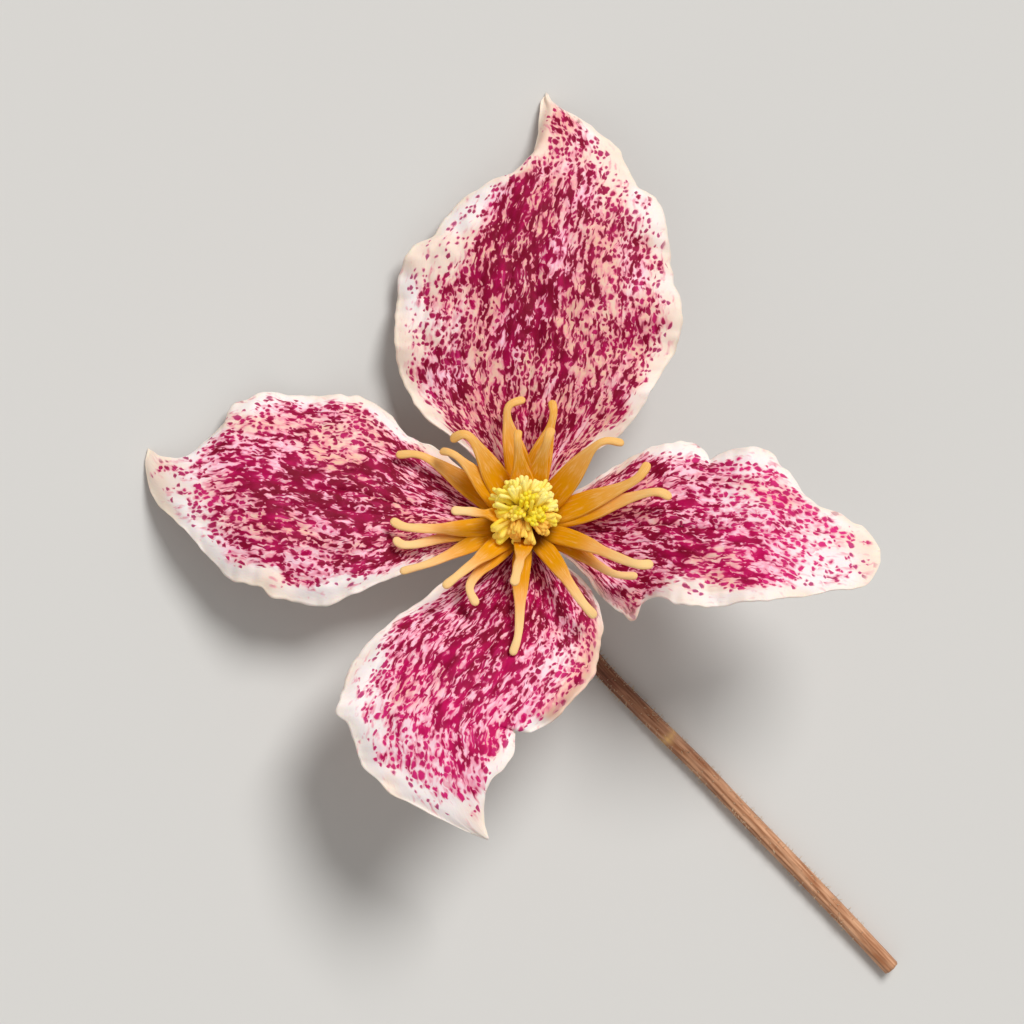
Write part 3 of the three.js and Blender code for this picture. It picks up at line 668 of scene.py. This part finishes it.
def grow_strap(mesh_maker, path, sides, steps, width, thickness, channel=0.0, ribs=0, tint=0.5,
               blunt=True):
    """Grows an oval strap along a path and adds it to the mesh. Blunt ones end in a round tip.

    Width and thickness are tables by share of the length, and ribs is how many run along it.
    """
    line = smooth_line(path)
    widths = smooth_line([Vector((share, value, 0)) for share, value in width], pace=lambda step: step.x)
    strap = new_growth()
    uv_layer = strap.loops.layers.uv.verify()
    tint_layer = strap.verts.layers.float["tint"]
    ring = bmesh.ops.create_circle(strap, segments=sides, radius=1.0, cap_ends=False)["verts"]
    rim = strap.edges[:]
    made = []
    shape = [vertex.co.copy() for vertex in ring]
    if ribs:
        for corner in shape:
            corner *= 0.95 + 0.05 * math.cos(ribs * math.atan2(corner.y, corner.x))
    for step in range(steps + 1):
        along = 1 - (1 - step / steps) ** 1.5 if blunt else step / steps
        if step:
            ring, rim = next_ring(strap, ring, rim)
        centre = point_on(line, along)
        ahead = point_on(line, min(1.0, along + 0.02)) - point_on(line, max(0.0, along - 0.02))
        ahead.normalize()
        side = Vector((-ahead.y, ahead.x, 0)).normalized()
        face = ahead.cross(side)
        half_width = point_on(widths, along).y / 2
        half_thickness = between(thickness, along) / 2
        if blunt:
            left_over = min(1.0, (1 - along) * line[1][-1] / half_width)
            roundness = max(0.06, math.sqrt(1 - (1 - left_over) ** 2))
            half_width *= roundness
            half_thickness *= roundness
        for vertex, corner in zip(ring, shape):
            lift = half_thickness * corner.y + channel * half_width * (corner.x ** 2 - 0.5)
            vertex.co = centre + side * (half_width * corner.x) + face * lift
        made.append((along, list(ring)))
    for end in (made[0][1], made[-1][1]):
        bmesh.ops.contextual_create(strap, geom=end)
    for along, row in made:
        for turn, vertex in enumerate(row):
            vertex[tint_layer] = tint
            for corner in vertex.link_loops:
                wrapped = turn == 0 and any(other.vert is row[-1] for other in corner.face.loops)
                corner[uv_layer].uv = (along, 1.0 if wrapped else turn / sides)
    add_mesh(mesh_maker, strap)


def read_growth(tree):
    """How far along its growth a point lies, and its tint."""
    along = node(tree, "ShaderNodeSeparateXYZ", {0: read_uv(tree, "grown")}).outputs[0]
    return along, read_attribute(tree, "tint")


def stamen_finish():
    """Golden filament flesh, paler and creamier towards the end.

    Painted shadow darkens the roots under the pistil, and the upper filaments' deeper gold is partly
    painted shade.
    """
    material, tree, shader = new_material("stamen_flesh")
    along, tint = read_growth(tree)
    spot = node(tree, "ShaderNodeTexCoord").outputs["Object"]
    heart = tuple(value * MM for value in HEART)
    away = node(tree, "ShaderNodeVectorMath", {0: spot, 1: heart}, operation="DISTANCE").outputs["Value"]
    body = blend_colour(tree, soft_step(tree, along, 0.45, 0.9), FILAMENT_PEACH, FILAMENT_CREAM)
    # The upper filaments are painted a deeper gold, partly their own colour and partly painted shade, and
    # the rest of the tint is random tone
    body = blend_colour(tree, maths(tree, "MULTIPLY", tint, 0.85), body, SHADED_FILAMENT_GOLD)
    # Painted shadow: the roots nearest the heart, under the pistil, are dark brown, and amber farther out
    root = blend_colour(tree, soft_step(tree, away, 0.0036, 0.0056), ROOT_SHADOW_BROWN, ROOT_AMBER)
    body = blend_colour(tree, soft_step(tree, away, 0.007, 0.0105), root, body)
    fibres = stretched_noise(tree, read_uv(tree, "grown"), scale=(7.0, 26.0), detail=3.0)
    ridge = maths(tree, "MULTIPLY", soft_step(tree, fibres, 0.45, 0.75), along)
    body = blend_colour(tree, ridge, body, RIDGE_CREAM)
    finish_surface(tree, shader, body, fibres, strength=0.5, depth=0.0001, roughness=0.6, specular=0.1)
    let_light_in(shader, weight=0.15, depth=0.0004, reds=(1.0, 0.6, 0.2))
    return material


mesh_maker = new_growth()
draw = random.Random(11)
for bend, tip in FILAMENTS:
    direction, out, height = bend
    root = polar(direction, ROOT_OUT, ROOT_HEIGHT)
    swerve = draw.uniform(-3.0, 3.0)
    rise = polar(direction + swerve, out * 0.5, ROOT_HEIGHT + (height - ROOT_HEIGHT) * 0.42)
    upper_side = min(1.0, max(0.0, math.cos(math.radians(direction - UPPER_SIDE)) + 0.3))
    broad = (ROOT_WIDTH + (UPPER_ROOT_WIDTH - ROOT_WIDTH) * upper_side) * draw.uniform(0.95, 1.05)
    middle = MIDDLE_WIDTH + (UPPER_MIDDLE_WIDTH - MIDDLE_WIDTH) * upper_side
    middle *= min(1.0, 0.45 + 0.065 * out)
    slim = draw.uniform(0.78, 0.96)
    # Each filament's deeper gold is partly a random tone of its own and, on the upper side, partly
    # painted shade
    grow_strap(mesh_maker, [root, rise, polar(*bend), polar(*tip)], STAMEN_SIDES, STAMEN_STEPS,
               width=[(0, 0.9 * broad), (0.2, broad), (0.42, (broad + middle) / 2),
                      (0.57, 0.84 * middle), (0.73, 1.04 * slim), (0.85, 0.9 * slim), (0.94, slim),
                      (1, 0.9 * slim)],
               thickness=[(0, 0.9), (0.4, 0.55), (0.75, 0.45), (0.92, 0.6), (1, 0.5)],
               channel=CHANNEL_DEPTH, tint=0.4 * draw.random() + 0.6 * upper_side)
ring_profile = [(RING_INSIDE, RING_BOTTOM), (RING_OUTSIDE, RING_BOTTOM),
                (RING_OUTSIDE, RING_TOP), (RING_INSIDE, RING_TOP)]
corners = [mesh_maker.verts.new((out, 0, height)) for out, height in ring_profile]
profile = [mesh_maker.edges.new(pair) for pair in zip(corners, corners[1:] + corners[:1])]
bmesh.ops.spin(mesh_maker, geom=corners + profile, cent=(0, 0, 0), axis=(0, 0, 1),
               angle=2 * math.pi, steps=RING_SIDES, use_merge=True)
bmesh.ops.remove_doubles(mesh_maker, verts=mesh_maker.verts, dist=MERGE_DISTANCE)
bmesh.ops.recalc_face_normals(mesh_maker, faces=mesh_maker.faces)
bmesh.ops.transform(mesh_maker, matrix=BLOOM, verts=mesh_maker.verts)
stamens = as_object(mesh_maker, "stamen_ring")
stamens.data.materials.append(stamen_finish())
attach(stamens, "root")
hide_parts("stamens")


# Pistil: a dense tuft of blunt, waxy styles, many of them forked, that spread from a small olive
# core to all sides and gather in soft lobes. On top they are short and pale round a bright yellow
# middle, and on the lower side, where some are missing, they curl out like fingers.
CORE_RADIUS = 1.3
CORE_HEIGHT = 5.3
STYLE_PLACES = 185
STYLE_SIDES, STYLE_STEPS = 9, 12
STYLE_REACH = 3.2
LOWEST_TILT = 112
GOLDEN_ANGLE = 137.508
STYLE_WIDTH, LOWER_STYLE_WIDTH = 0.4, 0.58
MISSING_BELOW = 0.45
FORKED_SHARE = 0.45
FINGER_GOLD = ink(238, 178, 66)
FINGER_YELLOW = ink(255, 222, 92)
MIDDLE_YELLOW = ink(240, 216, 10)
PALE_WAX = ink(255, 236, 138)
SHADED_NECK_AMBER = ink(206, 132, 14)
NECK_YELLOW = ink(240, 208, 10)
OLIVE_SHADE = ink(140, 96, 0)
WAX_GLINT = ink(255, 244, 150)

# Each lobe: its direction and its tilt from the axis, how far it reaches and how pale it is
LOBES = [
    (30, 50, 1.08, 1.0), (112, 52, 1.06, 0.85), (158, 66, 1.1, 0.75), (70, 20, 0.94, 0.45),
    (330, 44, 0.9, 0.5), (205, 34, 0.66, 0.35), (12, 82, 0.96, 0.8), (60, 84, 1.08, 0.85),
    (116, 88, 1.08, 0.7), (184, 84, 0.88, 0.3), (212, 88, 1.2, 0.3), (250, 70, 0.9, 0.05),
    (280, 90, 1.05, 0.15), (316, 84, 0.94, 0.0), (348, 90, 1.0, 0.3),
]


def pistil_finish():
    """Waxy yellow: pale on the crowded top, golden on the fingers, olive painted shade between them.

    Specks of painted glint and a faint painted glow stand in for light on and through the wax.
    """
    material, tree, shader = new_material("style_wax")
    along, tint = read_growth(tree)
    tip = blend_colour(tree, soft_step(tree, tint, 0.0, 0.25), FINGER_GOLD, FINGER_YELLOW)
    tip = blend_colour(tree, soft_step(tree, tint, 0.25, 0.5), tip, MIDDLE_YELLOW)
    tip = blend_colour(tree, soft_step(tree, tint, 0.5, 0.95), tip, PALE_WAX)
    # The lower styles' necks are amber, partly their own orange and partly painted shade in the gaps
    # between the fingers
    neck = blend_colour(tree, soft_step(tree, tint, 0.1, 0.5), SHADED_NECK_AMBER, NECK_YELLOW)
    body = blend_colour(tree, soft_step(tree, along, 0.2, 0.5), OLIVE_SHADE, neck)
    body = blend_colour(tree, soft_step(tree, along, 0.4, 0.85), body, tip)
    # Painted glints: specks of the wax are painted pale where this noise is high, and the same noise
    # gives its bump
    grain = node(tree, "ShaderNodeTexNoise", {"Scale": 2200.0, "Detail": 2.0}).outputs[0]
    body = blend_colour(tree, soft_step(tree, grain, 0.5, 0.85), body, WAX_GLINT)
    finish_surface(tree, shader, body, grain, strength=0.4, depth=0.0001, roughness=0.45, specular=0.3)
    let_light_in(shader, weight=0.3, depth=0.0003, reds=(1.0, 0.9, 0.4))
    # Painted glow: the wax gives off a little light in its own colour, standing in for light through its
    # flesh
    tree.links.new(body, shader.inputs["Emission Color"])
    shader.inputs["Emission Strength"].default_value = 0.14
    return material


mesh_maker = new_growth()
bmesh.ops.create_uvsphere(mesh_maker, u_segments=28, v_segments=18, radius=CORE_RADIUS,
                          matrix=Matrix.Translation((0, 0, CORE_HEIGHT)))
draw = random.Random(7)
core = Vector((0, 0, CORE_HEIGHT))
lobes = []
for direction, tilt, reach, paleness in LOBES:
    tilt = math.radians(tilt)
    lobes.append((polar(direction, math.sin(tilt), math.cos(tilt)), reach, paleness))
for index in range(STYLE_PLACES):
    drop = (1 - math.cos(math.radians(LOWEST_TILT))) * (index + 0.5) / STYLE_PLACES
    outward = polar(index * GOLDEN_ANGLE, math.sqrt(max(0.0, 1 - (1 - drop) ** 2)), 1 - drop)
    outward += 0.12 * Vector((draw.uniform(-1, 1), draw.uniform(-1, 1), draw.uniform(-1, 1)))
    outward.normalize()
    lobe, reach, paleness = max(lobes, key=lambda entry: entry[0].dot(outward))
    toward = outward.lerp(lobe, 0.3).normalized()
    length = STYLE_REACH * reach * draw.uniform(0.88, 1.05)
    lower = ease(outward.z, 0.35, -0.1) * ease(outward.y, 0.1, -0.4)
    if lower > 0.5 and draw.random() < MISSING_BELOW:
        continue
    swerve = Vector((draw.uniform(-1, 1), draw.uniform(-1, 1), draw.uniform(-0.3, 0.5))) * 0.28
    broad = (STYLE_WIDTH + (LOWER_STYLE_WIDTH - STYLE_WIDTH) * lower) * draw.uniform(0.88, 1.12)
    across = toward.cross(Vector((draw.uniform(-1, 1), draw.uniform(-1, 1), 0.5))).normalized()
    fork = across * draw.uniform(0.2, 0.32)
    for prong in ([fork, -fork] if draw.random() < FORKED_SHARE else [0.3 * fork]):
        bow = Vector((0, 0, 0.35 * (1 - abs(toward.z))))
        path = [core + 0.7 * outward, core + 0.62 * length * outward + bow - 0.6 * swerve,
                core + length * toward + swerve + prong]
        taper = [(0, 1.15 * broad), (0.5, 0.84 * broad), (0.8, broad), (1, 1.05 * broad)]
        grow_strap(mesh_maker, path, STYLE_SIDES, STYLE_STEPS, width=taper, thickness=taper,
                   tint=min(1.0, max(0.0, paleness + draw.uniform(-0.12, 0.12))))
bmesh.ops.recalc_face_normals(mesh_maker, faces=mesh_maker.faces)
bmesh.ops.transform(mesh_maker, matrix=BLOOM, verts=mesh_maker.verts)
pistil = as_object(mesh_maker, "style_tuft")
pistil.data.materials.append(pistil_finish())
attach(pistil, "root")
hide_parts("pistil")


# Stalk: a thin, woody brown stem with shallow ribs and fine hairs, which swells into the
# receptacle that carries the bloom. It bends down from there, lies on the ground and ends in a cut.
STALK_RADIUS = 0.83
STALK_SIDES = 48
STALK_STEPS = 220
STALK_RIBS = 8
STALK_NODE = 0.453
HAIR_COUNT = 900
HAIR_RADIUS, HAIR_TIP_RADIUS = 0.045, 0.015
HAIR_TINT, CUT_TINT = 0.8, 1.0
CUT_RIM, CUT_DEPTH = 0.22, 0.12
SEAT_RADIUS, SEAT_HEIGHT = 2.6, -0.7
SEAT_LIP, SEAT_DEPTH = 0.5, 1.4
SEAT_SIDES = 40
SEAT_GRAIN = 0.015
NECK_RADIUS, NECK_HEIGHT = 1.6, 1.6
POST_RADIUS, POST_HEIGHT = 0.9, 3.2
STALK_START = SEAT_HEIGHT - 0.9
STALK_LEVEL = STALK_RADIUS * math.cos(math.pi / 12)
STALK_BEND = [(1.3, -1.6, 2.7), (2.6, -3.3, 1.35)]
STALK_ROUTE = [(4.3, -5.8), (6.6, -9.2), (9.6, -12.9), (14.7, -17.6), (19.9, -22.2),
               (25.1, -27.1), (30.4, -32.0), (35.3, -36.6), (40.1, -41.2)]
SHADED_DARK_BARK, FAR_DARK_BARK = ink(60, 18, 8), ink(160, 102, 66)
SHADED_PALE_BARK, FAR_PALE_BARK = ink(128, 66, 44), ink(224, 172, 134)
KNOT_TAN_AND_HIGHLIGHT = ink(222, 176, 112)
CUT_WOOD = ink(238, 214, 176)


def stalk_finish():
    """Reddish brown bark, streaked lengthwise, paler and tanner far from the flower.

    Near the flower it is darkened partly by painted shadow, and its knot has a painted highlight.
    """
    material, tree, shader = new_material("stalk_bark")
    along, tint = read_growth(tree)
    place = read_uv(tree, "grown")
    grain = stretched_noise(tree, place, scale=(16.0, 18.0), detail=5.0)
    stain = stretched_noise(tree, place, scale=(14.0, 3.0), detail=2.0, start=(3.0, 5.0))
    # Near the flower the bark is painted darker, partly its own maroon and partly painted shadow under
    # the bloom, and it pales to tan farther out
    shadow_to_tan = maths(tree, "ADD", along, maths(tree, "MULTIPLY", maths(tree, "SUBTRACT", stain, 0.5), 0.6))
    shadow_to_tan = soft_step(tree, shadow_to_tan, 0.08, 0.7)
    dark = blend_colour(tree, shadow_to_tan, SHADED_DARK_BARK, FAR_DARK_BARK)
    pale = blend_colour(tree, shadow_to_tan, SHADED_PALE_BARK, FAR_PALE_BARK)
    bark = blend_colour(tree, soft_step(tree, grain, 0.3, 0.75), dark, pale)
    # The knot is painted tan, partly its own colour and partly a painted highlight on the swelling
    knot_and_highlight = maths(tree, "ABSOLUTE", maths(tree, "SUBTRACT", along, STALK_NODE), 0.0)
    knot_and_highlight = maths(tree, "ADD", knot_and_highlight, maths(tree, "MULTIPLY", grain, 0.03))
    bark = blend_colour(tree, soft_step(tree, knot_and_highlight, 0.028, 0.008), bark, KNOT_TAN_AND_HIGHLIGHT)
    bark = blend_colour(tree, soft_step(tree, tint, 0.6, 0.9), bark, CUT_WOOD)
    finish_surface(tree, shader, bark, grain, strength=0.4, depth=0.0001, roughness=0.6, specular=0.3)
    shader.inputs["Sheen Weight"].default_value = 0.15
    return material


# The receptacle, a rounded cup whose flat top carries the tepals, with a neck for the stamens
mesh_maker = new_growth()
quarter = [math.radians(10 * step) for step in range(10)]
seat = [(SEAT_RADIUS * math.sin(turn), SEAT_HEIGHT - SEAT_LIP - SEAT_DEPTH * math.cos(turn))
        for turn in quarter]
seat += [(SEAT_RADIUS - SEAT_LIP * (1 - math.cos(turn)), SEAT_HEIGHT - SEAT_LIP * (1 - math.sin(turn)))
         for turn in quarter[1:]]
seat += [(NECK_RADIUS, SEAT_HEIGHT), (NECK_RADIUS, NECK_HEIGHT), (POST_RADIUS, NECK_HEIGHT),
         (POST_RADIUS, POST_HEIGHT), (0, POST_HEIGHT)]
corners = [mesh_maker.verts.new((out, 0, height)) for out, height in seat]
profile = [mesh_maker.edges.new(pair) for pair in zip(corners, corners[1:])]
bmesh.ops.spin(mesh_maker, geom=corners + profile, cent=(0, 0, 0), axis=(0, 0, 1),
               angle=2 * math.pi, steps=SEAT_SIDES, use_merge=True)
bmesh.ops.remove_doubles(mesh_maker, verts=mesh_maker.verts, dist=MERGE_DISTANCE)
uv_layer = mesh_maker.loops.layers.uv["grown"]
for face in mesh_maker.faces:
    for corner in face.loops:
        place = corner.vert.co
        round_share = abs(math.atan2(place.y, place.x)) / math.pi
        corner[uv_layer].uv = (SEAT_GRAIN * (POST_HEIGHT - place.z), round_share)
bmesh.ops.transform(mesh_maker, matrix=BLOOM, verts=mesh_maker.verts)

# The stem, from inside the cup to its cut end
route = [BLOOM @ Vector((0, 0, STALK_START)) / MM]
route += [Vector((HEART.x + x, HEART.y + y, z)) for x, y, z in STALK_BEND]
route += [Vector((HEART.x + x, HEART.y + y, STALK_LEVEL)) for x, y in STALK_ROUTE]
stem = new_growth()
swelling = [(0, 2 * STALK_RADIUS), (STALK_NODE - 0.02, 2 * STALK_RADIUS),
            (STALK_NODE, 2.2 * STALK_RADIUS), (STALK_NODE + 0.012, 2.02 * STALK_RADIUS),
            (1, 2 * STALK_RADIUS)]
grow_strap(stem, route, STALK_SIDES, STALK_STEPS, width=swelling, thickness=swelling,
           ribs=STALK_RIBS, blunt=False)
cut_end = max((face for face in stem.faces if len(face.verts) == STALK_SIDES),
              key=lambda face: face.calc_center_median().x)
for depth in (0.0, -CUT_DEPTH):
    bmesh.ops.inset_region(stem, faces=[cut_end], thickness=CUT_RIM, depth=depth)
    for vertex in cut_end.verts:
        vertex[stem.verts.layers.float["tint"]] = CUT_TINT
bmesh.ops.transform(stem, matrix=Matrix.Scale(MM, 4), verts=stem.verts)
add_mesh(mesh_maker, stem)

# Fine, short hairs, crowded near the flower
fuzz = new_growth()
spine = smooth_line(route)
draw = random.Random(3)
for index in range(HAIR_COUNT):
    share = 0.02 + 0.9 * (index / HAIR_COUNT) ** 1.6
    centre = point_on(spine, share)
    ahead = (point_on(spine, share + 0.01) - centre).normalized()
    anywhere = Vector((draw.uniform(-1, 1), draw.uniform(-1, 1), draw.uniform(-1, 1)))
    away = anywhere.cross(ahead).normalized()
    hair = away * draw.uniform(0.2, 0.5) + ahead * draw.uniform(-0.2, 0.2)
    middle = centre + 0.9 * STALK_RADIUS * away + 0.5 * hair
    turned = hair.to_track_quat("Z", "Y").to_matrix().to_4x4()
    bmesh.ops.create_cone(fuzz, segments=3, radius1=HAIR_RADIUS, radius2=HAIR_TIP_RADIUS,
                          depth=hair.length,
                          matrix=Matrix.Scale(MM, 4) @ Matrix.Translation(middle) @ turned)
for vertex in fuzz.verts:
    vertex[fuzz.verts.layers.float["tint"]] = HAIR_TINT
add_mesh(mesh_maker, fuzz)
rest_on_ground(mesh_maker, 0.0)
bmesh.ops.recalc_face_normals(mesh_maker, faces=mesh_maker.faces)
stalk = as_object(mesh_maker, "stalk_stem")
stalk.data.materials.append(stalk_finish())
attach(stalk, "root")
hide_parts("stalk")


# Floor: the plain pale surface that the flower lies on. It only catches the flower's shadow, and
# is no part of it.
FLOOR_HALF_SIZE = 8.0
FLOOR_GREY = ink(214, 212, 208)
mesh_maker = bmesh.new()
bmesh.ops.create_grid(mesh_maker, x_segments=1, y_segments=1, size=FLOOR_HALF_SIZE)
floor = as_object(mesh_maker, "floor")
material, tree, shader = new_material("floor_paper")
shader.inputs["Base Color"].default_value = FLOOR_GREY
shader.inputs["Roughness"].default_value = 0.9
floor.data.materials.append(material)


# Soft daylight: a broad bright part of the sky beyond the upper tepal, a weaker one on the lower
# left, and a dim even sky all round.
def add_daylight(name, place, strength, breadth):
    """A far light that shines from a place towards the flower, and is so many degrees broad."""
    lamp = bpy.data.lights.new(name, "SUN")
    lamp.energy = strength
    lamp.angle = math.radians(breadth)
    made = bpy.data.objects.new(name, lamp)
    bpy.context.collection.objects.link(made)
    made.location = place
    made.rotation_euler = (-Vector(place)).to_track_quat("-Z", "Y").to_euler()


SKY_WHITE = (1.0, 0.985, 0.965, 1.0)
add_daylight("window", (0.14, 0.42, 0.6), strength=2.45, breadth=26)
add_daylight("fill", (-0.4, -0.45, 0.55), strength=0.35, breadth=60)
world = bpy.data.worlds.new("sky")
world.use_nodes = True
world.node_tree.nodes["Background"].inputs["Color"].default_value = SKY_WHITE
world.node_tree.nodes["Background"].inputs["Strength"].default_value = 0.3
bpy.context.scene.world = world
bpy.context.scene.view_settings.view_transform = "Standard"


# The camera, where the photographer stood: looking down into the bloom from 18 degrees below its
# axis. The photograph's frame is 97.5 mm wide at the heart.
VIEW_TILT = math.radians(18)
VIEW_DISTANCE = 450.0
FRAME_WIDTH = 97.5
SENSOR_WIDTH = 36.0
PICTURE_SIZE = 1024
PIXEL = FRAME_WIDTH / PICTURE_SIZE
HEART_PIXEL = (525, 530)
view_right = Vector((1, 0, 0))
view_up = Vector((0, math.cos(VIEW_TILT), math.sin(VIEW_TILT)))
view_back = view_right.cross(view_up)
aim = (view_right * (PICTURE_SIZE / 2 - HEART_PIXEL[0]) * PIXEL
       + view_up * (HEART_PIXEL[1] - PICTURE_SIZE / 2) * PIXEL)
camera = bpy.data.objects.new("camera", bpy.data.cameras.new("camera"))
camera.data.sensor_width = SENSOR_WIDTH
camera.data.lens = SENSOR_WIDTH * VIEW_DISTANCE / FRAME_WIDTH
turned = LEAN.to_3x3() @ Matrix((view_right, view_up, view_back)).transposed()
camera.matrix_world = (Matrix.Translation(BLOOM @ (aim + view_back * VIEW_DISTANCE))
                       @ turned.to_4x4())
bpy.context.collection.objects.link(camera)
bpy.context.scene.camera = camera
